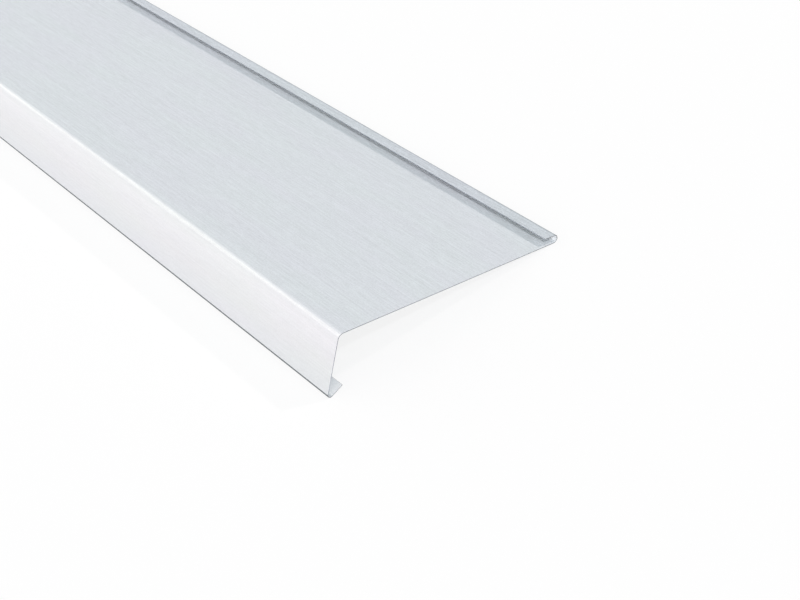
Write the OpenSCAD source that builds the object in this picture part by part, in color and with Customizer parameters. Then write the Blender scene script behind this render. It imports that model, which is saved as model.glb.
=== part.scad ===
// Zinc eaves flashing: one length of roll-formed sheet with a wide leaf, an open hem along its back
// edge, an apron along its front edge, and a drip return folded in below the apron.
// The flashing runs along X, the apron faces -Y, and the hem lies along +Y. It stands on its drip
// edge and on the bend of its hem, as it does when it is put down on a level floor.
// Lengths are in millimetres and angles in degrees.

/* [Sheet] */
// Length of the flashing
flashing_l = 2000; // [500:50:3000]
// Thickness of the zinc sheet
sheet_t = 0.7; // [0.5:0.05:1]

/* [Leaf and hem] */
// Width of the leaf, from the front corner to the back of the hem
leaf_w = 200; // [120:5:330]
// Width of the hem's lip, from its free edge to the back of the hem
lip_w = 12.5; // [9:0.5:25]
// Clear gap between the lip and the leaf
hem_gap = 5.6; // [2:0.2:8]

/* [Apron] */
// Depth of the apron, from the front corner to the drip edge
apron_w = 49; // [30:1:100]
// Angle between the leaf and the apron, measured inside the bend
apron_angle = 103; // [90:1:115]
// Inside radius of the bend between the leaf and the apron
apron_bend_r = 4.5; // [1:0.5:10]

/* [Drip] */
// Width of the return, from the drip edge to its free edge
return_w = 13; // [8:0.5:25]
// Angle between the apron and the return, measured inside the bend
return_angle = 44; // [25:1:60]
// Inside radius of the bend at the drip edge
drip_bend_r = 2; // [0.7:0.1:3]

/* [Hidden] */
$fn = 72;
zinc_colour = [0.85, 0.87, 0.88];

// A strip turns left where its angle is positive and right where it is negative. The sheet lies on
// the left of the line that the strip follows.
hem_turn = -180;
apron_turn = 180 - apron_angle;
drip_turn = 180 - return_angle;
hem_bend_r = hem_gap / 2;

// Part of a flat's width that its bend takes up, out to where the bend's faces would meet or, past a
// right angle, out to where the bend reaches furthest
function setback(turn, inside_r) = (inside_r + sheet_t) * tan(min(abs(turn), 90) / 2);

hem_setback = setback(hem_turn, hem_bend_r);
apron_setback = setback(apron_turn, apron_bend_r);
drip_setback = setback(drip_turn, drip_bend_r);

// The flats and bends in order, from the lip to the return: the length of each flat, the turn after
// it, and the inside radius of that turn
FOLDS = [
    [lip_w - hem_setback, hem_turn, hem_bend_r],
    [leaf_w - hem_setback - apron_setback, apron_turn, apron_bend_r],
    [apron_w - apron_setback - drip_setback, drip_turn, drip_bend_r],
    [return_w - drip_setback, 0, 0],
];

// Distance of a bend's axis from the line that the strip follows
function axis_offset(turn, inside_r) = turn > 0 ? inside_r + sheet_t : -inside_r;

// Section points are [back, up] from the front corner, with the leaf's upper face along the first axis
function turned(point, angle) = [
    point.x * cos(angle) - point.y * sin(angle),
    point.x * sin(angle) + point.y * cos(angle)
];

hem_outer_r = hem_bend_r + sheet_t;
drip_outer_r = drip_bend_r + sheet_t;
hem_axis = [leaf_w - hem_outer_r, hem_bend_r];
drip_axis = turned([apron_w - drip_outer_r, drip_outer_r], 180 + apron_turn);
return_tip = drip_axis + turned([return_w - drip_setback, -drip_outer_r], apron_turn + drip_turn - 180);

// Slope, in the section, of the floor that touches the hem and a rounded corner of the drip
function floor_slope(corner, corner_r) =
    let (reach = hem_axis - corner)
    atan2(reach.y, reach.x) - asin((hem_outer_r - corner_r) / norm(reach));

rest_slope = max(floor_slope(drip_axis, drip_outer_r), floor_slope(return_tip, 0));
hem_at_rest = turned(hem_axis, -rest_slope);
drip_at_rest = turned(drip_axis, -rest_slope);
back_at_rest = hem_at_rest.x + hem_outer_r;
front_at_rest = drip_at_rest.x - drip_outer_r;

// Moves what follows a bend to the bend's end
module past_bend(turn, inside_r) {
    offset_y = axis_offset(turn, inside_r);
    translate([0, offset_y]) rotate(turn) translate([0, -offset_y]) children();
}

// Section of one bend: the part of a ring between its first and its last radius
module bend(turn, inside_r) {
    outer_r = inside_r + sheet_t;
    reach = 2 * outer_r;
    translate([0, axis_offset(turn, inside_r)]) {
        intersection() {
            // The circles start on the side away from the bend, so that its faces stay whole
            rotate(180) difference() {
                circle(r = outer_r);
                circle(r = inside_r);
            }
            translate([0, -reach]) square([reach, 2 * reach]);
            rotate(turn) translate([-reach, -reach]) square([reach, 2 * reach]);
        }
    }
}

// Section of the strip from one of its flats on, each fold in the frame that the last one leaves
module folded_strip(first = 0) {
    if (first < len(FOLDS)) {
        flat_w = FOLDS[first][0];
        turn = FOLDS[first][1];
        inside_r = FOLDS[first][2];
        square([flat_w, sheet_t]);
        translate([flat_w, 0]) {
            if (turn != 0) {
                bend(turn, inside_r);
                past_bend(turn, inside_r) folded_strip(first + 1);
            }
        }
    }
}

// Section of the whole flashing as it stands at rest, centred over the floor
module section() {
    translate([-(back_at_rest + front_at_rest) / 2, hem_outer_r - hem_at_rest.y])
        rotate(-rest_slope)
            translate([leaf_w - lip_w, hem_gap])
                folded_strip();
}

// The flashing, with its ends cut square
module flashing() {
    color(zinc_colour)
        rotate([90, 0, 90])
            linear_extrude(height = flashing_l, center = true)
                section();
}

flashing();
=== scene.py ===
# The looks of the zinc eaves flashing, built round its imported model.
# The sheet is drawn again with finer bends, eased cut edges and the slight waves of rolled strip, and
# wears a procedural bright-rolled zinc. Lengths are in metres and angles in degrees. Section points are
# [back, up] from the front corner, with the leaf's upper face along the first axis.
import math

import bpy
import numpy as np
from mathutils import Matrix, Vector


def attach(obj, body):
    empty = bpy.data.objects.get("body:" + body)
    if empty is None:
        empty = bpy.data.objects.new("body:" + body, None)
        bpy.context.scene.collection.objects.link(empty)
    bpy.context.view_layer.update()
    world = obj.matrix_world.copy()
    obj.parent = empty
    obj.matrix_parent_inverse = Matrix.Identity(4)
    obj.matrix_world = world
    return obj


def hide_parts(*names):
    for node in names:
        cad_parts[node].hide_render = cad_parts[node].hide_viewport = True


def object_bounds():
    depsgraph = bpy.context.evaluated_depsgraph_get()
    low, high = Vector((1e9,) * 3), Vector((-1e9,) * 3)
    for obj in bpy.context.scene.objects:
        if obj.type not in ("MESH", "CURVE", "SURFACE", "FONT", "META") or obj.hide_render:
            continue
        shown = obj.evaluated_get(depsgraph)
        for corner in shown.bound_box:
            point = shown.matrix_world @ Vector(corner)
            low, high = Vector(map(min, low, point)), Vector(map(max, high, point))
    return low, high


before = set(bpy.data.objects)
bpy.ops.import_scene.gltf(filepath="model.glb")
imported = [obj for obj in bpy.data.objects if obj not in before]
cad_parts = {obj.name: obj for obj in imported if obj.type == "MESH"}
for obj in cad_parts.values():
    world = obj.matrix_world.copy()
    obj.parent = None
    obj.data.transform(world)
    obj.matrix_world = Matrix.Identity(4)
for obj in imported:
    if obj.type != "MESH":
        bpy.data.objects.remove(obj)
cad_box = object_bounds()

# The folded sheet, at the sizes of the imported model
SHEET_T = 0.0007
LEAF_W = 0.2
LIP_W = 0.0125
HEM_GAP = 0.0056
APRON_W = 0.049
APRON_ANGLE = 103
APRON_BEND_R = 0.0045
RETURN_W = 0.013
RETURN_ANGLE = 44
DRIP_BEND_R = 0.002
HEM_TURN = -180
APRON_TURN = 180 - APRON_ANGLE
DRIP_TURN = 180 - RETURN_ANGLE

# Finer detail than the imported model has
EDGE_R = 0.00012  # rounding of the cut edges
EDGE_STEPS = 3
BEND_STEP = 4  # degrees of a bend between stations
FLAT_STEP = 0.008
LENGTH_STEP = 0.0125
LEAF_WAVE = 0.00015
APRON_WAVE = 0.00005
# Waves of the flats: length of each along the flashing, how far its crest slants, its share, its start
WAVES = [(0.46, 0.9, 0.5, 0.8), (0.27, -0.5, 0.3, 2.1), (0.17, 0.3, 0.2, 4.4)]
SLOPE_REACH = 0.00001  # distance to either side over which the slope of the waves is taken

# Material slots of the sheet. The face is the upper side of the leaf and all that runs on from it: the
# inside of the hem and the front of the apron.
FACE = 0
BACK = 1
CUT = 2

# The unrolled sheet in its texture map, and the bands of the map that hold its cut ends
SHEET_V = (0.004, 0.982)
CAP_U = (0.01, 0.99)
CAP_V = [(0.987, 0.991), (0.995, 0.999)]

# Noises: cells to the metre along the flashing, cells to the metre across it, and detail
DASHES = (80, 1100, 2)
LINES = (9, 1400, 1)
SPECKS = (900, 900, 1)
MOTTLE = (12, 40, 2)
SHEAR_MARKS = (900, 900, 2)
LINES_SHARE = 0.45
SPECKS_SHARE = 0.37
NOISE_SPAN = (0.35, 0.65)  # most of a noise lies between these

# The zinc, mostly diffuse. GRAIN is how far its rolling marks lighten and darken it where they are
# strongest, and each side is mottled in two tints.
METALLIC = 0.05
SPECULAR = 0.2
ROUGHNESS = (0.5, 0.62)
BUMP_STRENGTH = 0.2
BUMP_HEIGHT = 0.00002
GRAIN = 0.2
FACE_TINTS = [(0.832, 0.861, 0.903), (0.826, 0.87, 0.896)]
BACK_TINTS = [(0.882, 0.895, 0.909), (0.874, 0.906, 0.902)]

# Painted shade darkens the skin outside a tight bend: the strains at which that begins and is complete,
# and its colour
BEND_SHADE_STRAINS = (0.09, 0.149)
PAINTED_BEND_SHADE = (0.13, 0.15, 0.165)

# The sheared and slit edges
CUT_METALLIC = 0.5
CUT_ROUGHNESS = 0.45
CUT_TINTS = [(0.34, 0.365, 0.42), (0.445, 0.475, 0.53)]

# Tones at places across the strip, from 0 at the free edge of the lip to 1 at that of the return. The
# hem's bend lies from 0.033 to 0.065, the front bend from 0.761 to 0.787 and the drip bend from 0.94 to
# 0.963.
# The rolling marks are strongest on the lip and weakest on the apron
GRAIN_SHARES = [(0.031, 1), (0.035, 0.5), (0.775, 0.5), (0.79, 0.25)]
# Painted light inside the hem's bend and a painted highlight on the crown of the front bend, with a line
# of painted shade on the crown's leaf side, and painted shade that darkens the apron towards its foot
FACE_PAINTED_TONES = [
    (0.034, 0.833),
    (0.042, 0.95),
    (0.055, 0.95),
    (0.063, 0.833),
    (0.7614, 0.833),
    (0.764, 0.795),
    (0.768, (0.805, 0.8, 0.8)),
    (0.7718, (0.93, 0.915, 0.9)),
    (0.7748, (1, 0.98, 0.95)),
    (0.7776, (0.92, 0.9, 0.885)),
    (0.781, (0.824, 0.81, 0.805)),
    (0.8, (0.847, 0.827, 0.828)),
    (0.83, (0.817, 0.802, 0.802)),
    (0.87, (0.796, 0.782, 0.779)),
    (0.9, (0.777, 0.77, 0.77)),
    (0.95, (0.762, 0.759, 0.767)),
]
# Painted shade on the lip and the rest of the back, painted light that makes the return brighter, and
# painted shade at the bottom of the drip bend
BACK_PAINTED_TONES = [
    (0.925, (0.695, 0.721, 0.757)),
    (0.943, 1),
    (0.951, (0.65, 0.66, 0.68)),
    (0.9585, (0.68, 0.69, 0.71)),
    (0.964, 1),
]
# A painted highlight along the slit edge of the lip, painted shade darkest round the top of the hem's
# bend, painted light that brightens it down the apron, and painted shade again round the drip bend
CUT_PAINTED_TONES = [
    (0, 1),
    (0.002, 0.48),
    (0.034, 0.48),
    (0.037, 0.05),
    (0.05, 0.05),
    (0.056, 0.48),
    (0.775, 0.48),
    (0.81, 0.62),
    (0.93, 1),
    (0.942, 0.45),
    (0.962, 0.45),
    (0.968, 0.4),
]

# The floor: how far it reaches, how pale it is where it throws light back and where it is seen directly,
# and how much of what is seen is its own white and takes no shadow
FLOOR_REACH = 8
FLOOR_THROWS = (0.8, 0.8, 0.8, 1)
FLOOR_SEEN = (0.9, 0.9, 0.9, 1)
FLOOR_OWN_WHITE = 0.85

# The light of the world, and for each lamp the direction to it, the light it gives a surface that faces
# it, its colour, and how wide it is
WORLD_LIGHT = 0.2
WORLD_COLOUR = (0.84, 1, 1.04, 1)
LAMPS = {
    "front_lamp": ((0.61, -0.206, 0.765), 0.35, (0.985, 0.998, 1.056), 1.5),
    "back_lamp": ((0.25, 0.726, 0.64), 0.285, (1.095, 0.993, 0.955), 1.5),
    "top_fill": ((0.53, 0.22, 0.819), 0.08, (0.8, 1, 1.1), 60),
    "low_fill": ((0.6, -0.78, 0.14), 0.42, (1.11, 0.968, 0.907), 55),
    "left_fill": ((-0.664, -0.664, 0.342), 0.66, (1.059, 0.996, 0.945), 100),
}

# The camera, in the leaf's own frame at the near end of the front corner. Its heading is turned from the
# length of the flashing towards the hem, and it looks down on the leaf.
CAMERA_AT = (0.6788, -0.4833, 0.5587)
CAMERA_HEADING = 38.275
CAMERA_DOWN = 32.55
FOCAL_LENGTH = 67.5
SENSOR_WIDTH = 36

# Sockets of the Mix node, by number because their names repeat
MIX_SHARE = 0
MIX_VALUES = (2, 3)
MIX_COLOURS = (6, 7)
VALUE_OUT = 0
COLOUR_OUT = 2


def unit(angle):
    """The direction at an angle from the first axis of the section."""
    return np.array([math.cos(math.radians(angle)), math.sin(math.radians(angle))])


def setback(turn, inside_r):
    """How much of a flat's width its bend takes up."""
    return (inside_r + SHEET_T) * math.tan(math.radians(min(abs(turn), 90) / 2))


def folds():
    """The flats from the lip to the return: the length and wave height of each, with the turn and
    inside radius after it."""
    hem_setback = setback(HEM_TURN, HEM_GAP / 2)
    apron_setback = setback(APRON_TURN, APRON_BEND_R)
    drip_setback = setback(DRIP_TURN, DRIP_BEND_R)
    leaf = LEAF_W - hem_setback - apron_setback
    apron = APRON_W - apron_setback - drip_setback
    return [
        (LIP_W - hem_setback, 0, HEM_TURN, HEM_GAP / 2),
        (leaf, LEAF_WAVE, APRON_TURN, APRON_BEND_R),
        (apron, APRON_WAVE, DRIP_TURN, DRIP_BEND_R),
        (RETURN_W - drip_setback, 0, 0, 0),
    ]


def trace_strip():
    """Follows the strip from the lip to the return, with the sheet on its left. Returns the stations'
    points and headings, how much the face is stretched there, the flat each is on, as its length, its
    wave height and the distance along it, and the axis and outer radius of each bend."""
    point = np.array([LEAF_W - LIP_W, HEM_GAP])
    heading = 0
    points = []
    headings = []
    strains = []
    flats = []
    bends = []
    for length, wave_height, turn, inside_r in folds():
        steps = math.ceil(length / FLAT_STEP)
        for k in range(1 if points else 0, steps + 1):
            points.append(point + unit(heading) * length * k / steps)
            headings.append(heading)
            strains.append(0)
            flats.append((length, wave_height, length * k / steps))
        point = points[-1]
        if not turn:
            continue
        to_axis = inside_r + SHEET_T if turn > 0 else -inside_r
        axis = point + to_axis * unit(heading + 90)
        bends.append((axis, inside_r + SHEET_T))
        steps = math.ceil(abs(turn) / BEND_STEP)
        strain = SHEET_T / (2 * to_axis - SHEET_T)  # half the sheet over the radius of its middle
        for k in range(1, steps + 1):
            points.append(axis - to_axis * unit(heading + 90 + turn * k / steps))
            headings.append(heading + turn * k / steps)
            strains.append(strain if k < steps else 0)
            flats.append((1, 0, 0))
        point = points[-1]
        heading += turn
    return np.array(points), np.array(headings, float), np.array(strains), np.array(flats), bends


def rest_slope(bends):
    """Slope of the leaf when the flashing stands on its drip edge and on the bend of its hem."""
    (hem_axis, hem_r), _, (drip_axis, drip_r) = bends
    reach = hem_axis - drip_axis
    rise = math.asin((hem_r - drip_r) / np.linalg.norm(reach))
    return math.degrees(math.atan2(reach[1], reach[0]) - rise)


def corner(centre, first_angle):
    """A rounded corner of the sheet's cut edge, turning left by a right angle: points and normals."""
    normals = [unit(first_angle + 90 * k / EDGE_STEPS) for k in range(EDGE_STEPS + 1)]
    return [(centre + EDGE_R * normal, normal) for normal in normals]


def section_outline(points, headings):
    """The closed outline of the section: the face, the edge of the return, the back and the edge of the
    lip. Returns its points and outward normals, and the station each belongs to."""
    across = np.array([unit(heading + 90) for heading in headings])
    right = points.copy()
    right[0] += EDGE_R * unit(headings[0])
    right[-1] -= EDGE_R * unit(headings[-1])
    left = right + SHEET_T * across
    inward = EDGE_R * across
    outline = list(zip(right, -across))
    outline += corner(right[-1] + inward[-1], headings[-1] - 90)[1:]
    outline += corner(left[-1] - inward[-1], headings[-1])[:-1]
    outline += zip(left[::-1], across[::-1])
    outline += corner(left[0] - inward[0], headings[0] + 90)[1:]
    outline += corner(right[0] + inward[0], headings[0] + 180)[:-1]
    on_face = list(range(len(points)))
    on_return_edge = [on_face[-1]] * (2 * EDGE_STEPS)
    on_lip_edge = [0] * (2 * EDGE_STEPS)
    station = on_face + on_return_edge + on_face[::-1] + on_lip_edge
    outline = np.array(outline)
    return outline[:, 0], outline[:, 1], np.array(station)


def wave(x, flats, further=0):
    """How far a flat stands proud of its plane, which dies out at its bends."""
    length, wave_height, along = flats.T
    along = along + further
    total = 0
    for wavelength, slant, share, start in WAVES:
        total = total + share * np.sin(2 * math.pi * (x + slant * along) / wavelength + start)
    return wave_height * total * np.sin(math.pi * np.clip(along / length, 0, 1)) ** 2


def ring_places():
    """Places of the rings along the flashing, with the easing of the cut ends: where each ring is,
    how far it is inset, and how far its normals turn to the end."""
    low, high = cad_box[0][0], cad_box[1][0]
    count = round((high - low) / LENGTH_STEP)
    turns = [math.radians(90 * k / EDGE_STEPS) for k in range(EDGE_STEPS + 1)]
    ease = [(EDGE_R * (1 - math.cos(a)), EDGE_R * (1 - math.sin(a)), math.cos(a)) for a in turns]
    rings = [(low + x, inset, -lean) for x, inset, lean in ease]
    rings += [(low + (high - low) * k / count, 0, 0) for k in range(1, count)]
    rings += [(high - x, inset, lean) for x, inset, lean in reversed(ease)]
    return np.array(rings).T[:, :, None]


def tilt(section, slope):
    """Turns section points or directions, given as [back, up], to the slope of the leaf at rest."""
    back, up = section
    cos, sin = unit(slope)
    return np.array([cos * back + sin * up, cos * up - sin * back])


def sheet_faces(rings, stations, around):
    """The faces round the sheet, those of its two cut ends, and the material slot of each."""
    faces = []
    slots = []
    first_left = stations + 2 * EDGE_STEPS
    for i in range(rings - 1):
        for j in range(around):
            k = (j + 1) % around
            faces.append((i * around + j, i * around + k, (i + 1) * around + k, (i + 1) * around + j))
            on_back = first_left <= j < first_left + stations - 1
            slots.append(FACE if j < stations - 1 else BACK if on_back else CUT)
    lefts = [first_left + stations - 1 - j for j in range(stations)]
    cap = [[j, j + 1, lefts[j + 1], lefts[j]] for j in range(stations - 1)]
    cap.append(list(range(stations - 1, first_left + 1)))
    cap.append(list(range(lefts[0], around)) + [0])
    last = (rings - 1) * around
    low_cap = [face[::-1] for face in cap]
    high_cap = [[last + j for j in face] for face in cap]
    return faces, low_cap, high_cap, slots + [CUT] * (2 * len(cap))


def build_sheet():
    """The folded sheet as one mesh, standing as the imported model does, and the frame of its leaf."""
    points, headings, strains, flats, bends = trace_strip()
    outline, normals, station = section_outline(points, headings)
    x, inset, lean = ring_places()
    on_flat = flats[station]
    proud = wave(x, on_flat)
    slope_x = (wave(x + SLOPE_REACH, on_flat) - wave(x - SLOPE_REACH, on_flat)) / (2 * SLOPE_REACH)
    slope_along = (wave(x, on_flat, SLOPE_REACH) - wave(x, on_flat, -SLOPE_REACH)) / (2 * SLOPE_REACH)
    along = np.array([unit(headings[j]) for j in station])
    across = np.array([unit(headings[j] + 90) for j in station])
    side = (normals * across).sum(1)
    upright = np.sqrt(1 - lean**2)
    place = [outline[:, a] - inset * normals[:, a] - proud * across[:, a] for a in (0, 1)]
    facing = [normals[:, a] * upright + side * slope_along * along[:, a] for a in (0, 1)]

    slope = rest_slope(bends)
    extent = tilt(outline.T, slope)
    middle = (cad_box[0][1] + cad_box[1][1]) / 2
    stand = [middle - (extent[0].min() + extent[0].max()) / 2, cad_box[0][2] - extent[1].min()]
    back, up = tilt(place, slope)
    verts = np.stack([x + 0 * back, back + stand[0], up + stand[1]], axis=2)
    facing_back, facing_up = tilt(facing, slope)
    vert_normals = np.stack([lean + side * slope_x, facing_back, facing_up], axis=2)
    vert_normals /= np.linalg.norm(vert_normals, axis=2, keepdims=True)

    rings, around = back.shape
    faces, low_cap, high_cap, slots = sheet_faces(rings, len(points), around)
    mesh = bpy.data.meshes.new("flashing_sheet")
    mesh.from_pydata(verts.reshape(-1, 3).tolist(), [], faces + low_cap + high_cap)
    mesh.polygons.foreach_set("use_smooth", [True] * len(slots))
    mesh.polygons.foreach_set("material_index", slots)
    strain = mesh.attributes.new("bend_strain", "FLOAT", "POINT")
    strain.data.foreach_set("value", np.tile(-strains[station] * side, rings))
    strip_way = np.append(0, np.linalg.norm(np.diff(points, axis=0), axis=1).cumsum())
    strip_share = mesh.attributes.new("strip_share", "FLOAT", "POINT")
    strip_share.data.foreach_set("value", np.tile((strip_way / strip_way[-1])[station], rings))
    offset = outline - points[station]
    cap_along = strip_way[station] + (offset * along).sum(1)
    add_map(mesh, x.ravel(), outline, cap_along, (offset * across).sum(1), low_cap, high_cap)
    mesh.normals_split_custom_set_from_vertices(vert_normals.reshape(-1, 3).tolist())
    mesh.update()
    sheet = bpy.data.objects.new("flashing_sheet", mesh)
    bpy.context.scene.collection.objects.link(sheet)
    corner_end = Matrix.Translation((cad_box[1][0], *stand))
    return sheet, corner_end @ Matrix.Rotation(math.radians(-slope), 4, "X")


def spread(values, low, high):
    """Values moved and scaled so that the least is low and the greatest is high."""
    return low + (values - values.min()) / np.ptp(values) * (high - low)


def add_map(mesh, x, outline, cap_along, cap_across, low_cap, high_cap):
    """Texture map: the sheet unrolled, with its length along u and the way round its section along v,
    and above it a band for each cut end."""
    closed = np.vstack([outline, outline[:1]])
    way = np.append(0, np.linalg.norm(np.diff(closed, axis=0), axis=1).cumsum())
    u = spread(x, 0, 1)
    v = spread(way, *SHEET_V)
    ring_u = np.stack([u[:-1], u[:-1], u[1:], u[1:]], axis=1)[:, None, :]
    side_v = np.stack([v[:-1], v[1:], v[1:], v[:-1]], axis=1)[None, :, :]
    uv = [np.stack(np.broadcast_arrays(ring_u, side_v), axis=3).reshape(-1, 2)]
    cap_u = spread(cap_along, *CAP_U)
    for cap, band in zip((low_cap, high_cap), CAP_V):
        corners = np.concatenate(cap) % len(outline)
        cap_v = spread(cap_across, *band)
        uv.append(np.stack([cap_u[corners], cap_v[corners]], axis=1))
    layer = mesh.uv_layers.new(name="OFBake")
    layer.data.foreach_set("uv", np.concatenate(uv).ravel())


def add_node(tree, kind, **settings):
    """A shader node with its settings, each named after one of its inputs or of its own properties."""
    node = tree.nodes.new(kind)
    for name, value in settings.items():
        label = name.replace("_", " ").title()
        if label in node.inputs:
            node.inputs[label].default_value = value
        else:
            setattr(node, name, value)
    return node


def new_material(name):
    """An empty material, its node tree and its output node."""
    material = bpy.data.materials.new(name)
    material.use_nodes = True
    tree = material.node_tree
    tree.nodes.clear()
    return material, tree, add_node(tree, "ShaderNodeOutputMaterial")


def stretched_noise(tree, along, across, detail):
    """Noise with so many cells to the metre along the flashing and across it."""
    place = add_node(tree, "ShaderNodeTexCoord")
    scale = add_node(tree, "ShaderNodeMapping", scale=(along, across, across))
    noise = add_node(tree, "ShaderNodeTexNoise", scale=1, detail=detail)
    tree.links.new(place.outputs["Object"], scale.inputs["Vector"])
    tree.links.new(scale.outputs["Vector"], noise.inputs["Vector"])
    return noise.outputs["Fac"]


def blend_values(tree, first, second, share):
    """A blend of two nodes' values."""
    mix = add_node(tree, "ShaderNodeMix", data_type="FLOAT")
    mix.inputs[MIX_SHARE].default_value = share
    for value, socket in zip((first, second), MIX_VALUES):
        tree.links.new(value, mix.inputs[socket])
    return mix.outputs[VALUE_OUT]


def remap(tree, value, old, new):
    """A value moved from its old span to a new one, and held inside that."""
    node = add_node(tree, "ShaderNodeMapRange", from_min=old[0], from_max=old[1])
    node.inputs["To Min"].default_value = new[0]
    node.inputs["To Max"].default_value = new[1]
    tree.links.new(value, node.inputs["Value"])
    return node.outputs["Result"]


def blend_colours(tree, share, first, second):
    """A blend of two colours, of which either may be a node's output."""
    mix = add_node(tree, "ShaderNodeMix", data_type="RGBA")
    tree.links.new(share, mix.inputs[MIX_SHARE])
    for colour, socket in zip((first, second), MIX_COLOURS):
        if isinstance(colour, tuple):
            mix.inputs[socket].default_value = (*colour, 1)
        else:
            tree.links.new(colour, mix.inputs[socket])
    return mix.outputs[COLOUR_OUT]


def along_strip(tree, tones):
    """A tone that changes across the strip, given at places as a grey or a colour."""
    strip = add_node(tree, "ShaderNodeAttribute", attribute_name="strip_share")
    ramp = add_node(tree, "ShaderNodeValToRGB")
    elements = ramp.color_ramp.elements
    while len(elements) < len(tones):
        elements.new(0)
    for element, (place, tone) in zip(elements, tones):
        element.position = place
        element.color = (*tone, 1) if isinstance(tone, tuple) else (tone, tone, tone, 1)
    tree.links.new(strip.outputs["Fac"], ramp.inputs["Fac"])
    return ramp.outputs["Color"]


def shade(tree, colour, tone, share=None):
    """A colour multiplied by a tone, or moved only a share of the way to that."""
    mix = add_node(tree, "ShaderNodeMix", data_type="RGBA", blend_type="MULTIPLY")
    mix.inputs[MIX_SHARE].default_value = 1
    if share:
        tree.links.new(share, mix.inputs[MIX_SHARE])
    for source, socket in zip((colour, tone), MIX_COLOURS):
        tree.links.new(source, mix.inputs[socket])
    return mix.outputs[COLOUR_OUT]


def zinc_material(name, tints, tones):
    """Bright-rolled zinc: satin, with fine rolling marks along the length over a mottle of two faint
    tints. The strength of its marks changes across the strip, its tone carries painted light and shade
    across the strip, and painted shade darkens the skin that a tight bend stretches."""
    material, tree, output = new_material(name)
    shader = add_node(tree, "ShaderNodeBsdfPrincipled", metallic=METALLIC)
    shader.inputs["Specular IOR Level"].default_value = SPECULAR
    dashes = stretched_noise(tree, *DASHES)
    lines = stretched_noise(tree, *LINES)
    specks = stretched_noise(tree, *SPECKS)
    marks = blend_values(tree, dashes, lines, LINES_SHARE)
    grain = blend_values(tree, marks, specks, SPECKS_SHARE)
    mottle = remap(tree, stretched_noise(tree, *MOTTLE), NOISE_SPAN, (0, 1))
    colour = blend_colours(tree, mottle, *tints)
    marked = remap(tree, grain, NOISE_SPAN, (1 - GRAIN, 1 + GRAIN))
    colour = shade(tree, colour, marked, along_strip(tree, GRAIN_SHARES))
    # painted light and shade across the strip, from the tones given
    colour = shade(tree, colour, along_strip(tree, tones))
    # painted shade on the skin stretched round a tight bend
    skin = add_node(tree, "ShaderNodeAttribute", attribute_name="bend_strain")
    bend_shade = remap(tree, skin.outputs["Fac"], BEND_SHADE_STRAINS, (0, 1))
    colour = blend_colours(tree, bend_shade, colour, PAINTED_BEND_SHADE)
    tree.links.new(colour, shader.inputs["Base Color"])
    tree.links.new(remap(tree, grain, NOISE_SPAN, ROUGHNESS), shader.inputs["Roughness"])
    bump = add_node(tree, "ShaderNodeBump", strength=BUMP_STRENGTH, distance=BUMP_HEIGHT)
    tree.links.new(grain, bump.inputs["Height"])
    tree.links.new(bump.outputs["Normal"], shader.inputs["Normal"])
    tree.links.new(shader.outputs["BSDF"], output.inputs["Surface"])
    return material


def cut_edge_material():
    """The cut edges of the sheet: grey, with fine marks, and painted light and shade that change across
    the strip.
    """
    material, tree, output = new_material("sheared_zinc")
    shader = add_node(tree, "ShaderNodeBsdfPrincipled", metallic=CUT_METALLIC, roughness=CUT_ROUGHNESS)
    colour = blend_colours(tree, stretched_noise(tree, *SHEAR_MARKS), *CUT_TINTS)
    # painted light and shade across the strip
    colour = shade(tree, colour, along_strip(tree, CUT_PAINTED_TONES))
    tree.links.new(colour, shader.inputs["Base Color"])
    tree.links.new(shader.outputs["BSDF"], output.inputs["Surface"])
    return material


def seen_directly(tree):
    """1 for what the camera sees directly, in metal or through glass, and 0 for other light."""
    path = add_node(tree, "ShaderNodeLightPath")
    either = add_node(tree, "ShaderNodeMath", operation="MAXIMUM")
    tree.links.new(path.outputs["Is Camera Ray"], either.inputs[0])
    tree.links.new(path.outputs["Is Glossy Ray"], either.inputs[1])
    any_of = add_node(tree, "ShaderNodeMath", operation="MAXIMUM")
    tree.links.new(either.outputs[0], any_of.inputs[0])
    tree.links.new(path.outputs["Is Transmission Ray"], any_of.inputs[1])
    return any_of.outputs[0]


def mix_shaders(tree, share, first, second):
    """A mix of two shader nodes."""
    mix = add_node(tree, "ShaderNodeMixShader")
    if isinstance(share, float):
        mix.inputs[0].default_value = share
    else:
        tree.links.new(share, mix.inputs[0])
    tree.links.new(first.outputs[0], mix.inputs[1])
    tree.links.new(second.outputs[0], mix.inputs[2])
    return mix


def floor_material():
    """A white floor that keeps the object's shadow. Seen directly, a share of its white is its own."""
    material, tree, output = new_material("studio_floor")
    material.cycles.emission_sampling = "NONE"  # no lamp: its own white is only seen
    throws = add_node(tree, "ShaderNodeBsdfDiffuse", color=FLOOR_THROWS)
    pale = add_node(tree, "ShaderNodeBsdfDiffuse", color=FLOOR_SEEN)
    glow = add_node(tree, "ShaderNodeEmission", strength=1)
    white = mix_shaders(tree, 1 - FLOOR_OWN_WHITE, glow, pale)
    mix = mix_shaders(tree, seen_directly(tree), throws, white)
    tree.links.new(mix.outputs[0], output.inputs["Surface"])
    return material


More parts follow.
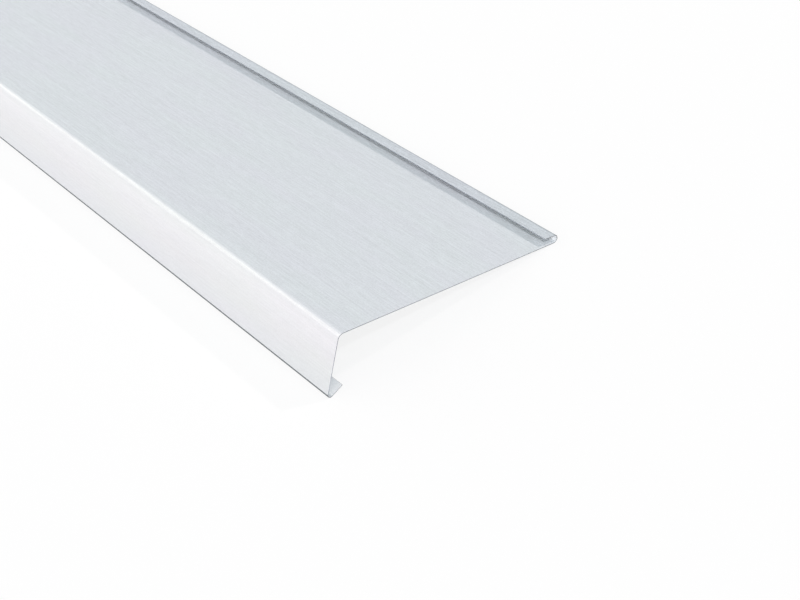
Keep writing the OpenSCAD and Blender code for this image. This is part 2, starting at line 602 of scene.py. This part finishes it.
def build_floor():
    """A level floor, all round and just under the flashing."""
    low = cad_box[0][2]
    corners = [(x * FLOOR_REACH, y * FLOOR_REACH, low) for x, y in ((-1, -1), (1, -1), (1, 1), (-1, 1))]
    mesh = bpy.data.meshes.new("studio_floor")
    mesh.from_pydata(corners, [], [(0, 1, 2, 3)])
    floor = bpy.data.objects.new("studio_floor", mesh)
    bpy.context.scene.collection.objects.link(floor)
    floor.data.materials.append(floor_material())


def build_world():
    """White all round where it is seen directly, and a weak, slightly blue light."""
    world = bpy.data.worlds.new("studio_world")
    world.use_nodes = True
    tree = world.node_tree
    tree.nodes.clear()
    output = add_node(tree, "ShaderNodeOutputWorld")
    light = add_node(tree, "ShaderNodeBackground", color=WORLD_COLOUR, strength=WORLD_LIGHT)
    white = add_node(tree, "ShaderNodeBackground", color=(1, 1, 1, 1), strength=1)
    mix = mix_shaders(tree, seen_directly(tree), light, white)
    tree.links.new(mix.outputs[0], output.inputs["Surface"])
    bpy.context.scene.world = world


def add_lamps():
    """A sun lamp for each of LAMPS."""
    for name, (direction, light, colour, width) in LAMPS.items():
        data = bpy.data.lights.new(name, "SUN")
        data.energy = light * math.pi
        data.color = colour
        data.angle = math.radians(width)
        lamp = bpy.data.objects.new(name, data)
        bpy.context.scene.collection.objects.link(lamp)
        lamp.rotation_euler = Vector(direction).to_track_quat("Z", "Y").to_euler()


def add_camera(leaf_frame):
    """The camera at its place in the frame of the leaf."""
    data = bpy.data.cameras.new("camera")
    data.lens = FOCAL_LENGTH
    data.sensor_width = SENSOR_WIDTH
    camera = bpy.data.objects.new("camera", data)
    bpy.context.scene.collection.objects.link(camera)
    heading = Matrix.Rotation(math.radians(90 - CAMERA_HEADING), 4, "Z")
    nod = Matrix.Rotation(math.radians(90 - CAMERA_DOWN), 4, "X")
    camera.matrix_world = leaf_frame @ Matrix.Translation(CAMERA_AT) @ heading @ nod
    bpy.context.scene.camera = camera


sheet, leaf_frame = build_sheet()
sheet.data.materials.append(zinc_material("rolled_zinc", FACE_TINTS, FACE_PAINTED_TONES))
sheet.data.materials.append(zinc_material("reverse_zinc", BACK_TINTS, BACK_PAINTED_TONES))
sheet.data.materials.append(cut_edge_material())
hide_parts("flashing")
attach(sheet, "root")
build_floor()
build_world()
add_lamps()
add_camera(leaf_frame)
bpy.context.scene.view_settings.view_transform = "Standard"
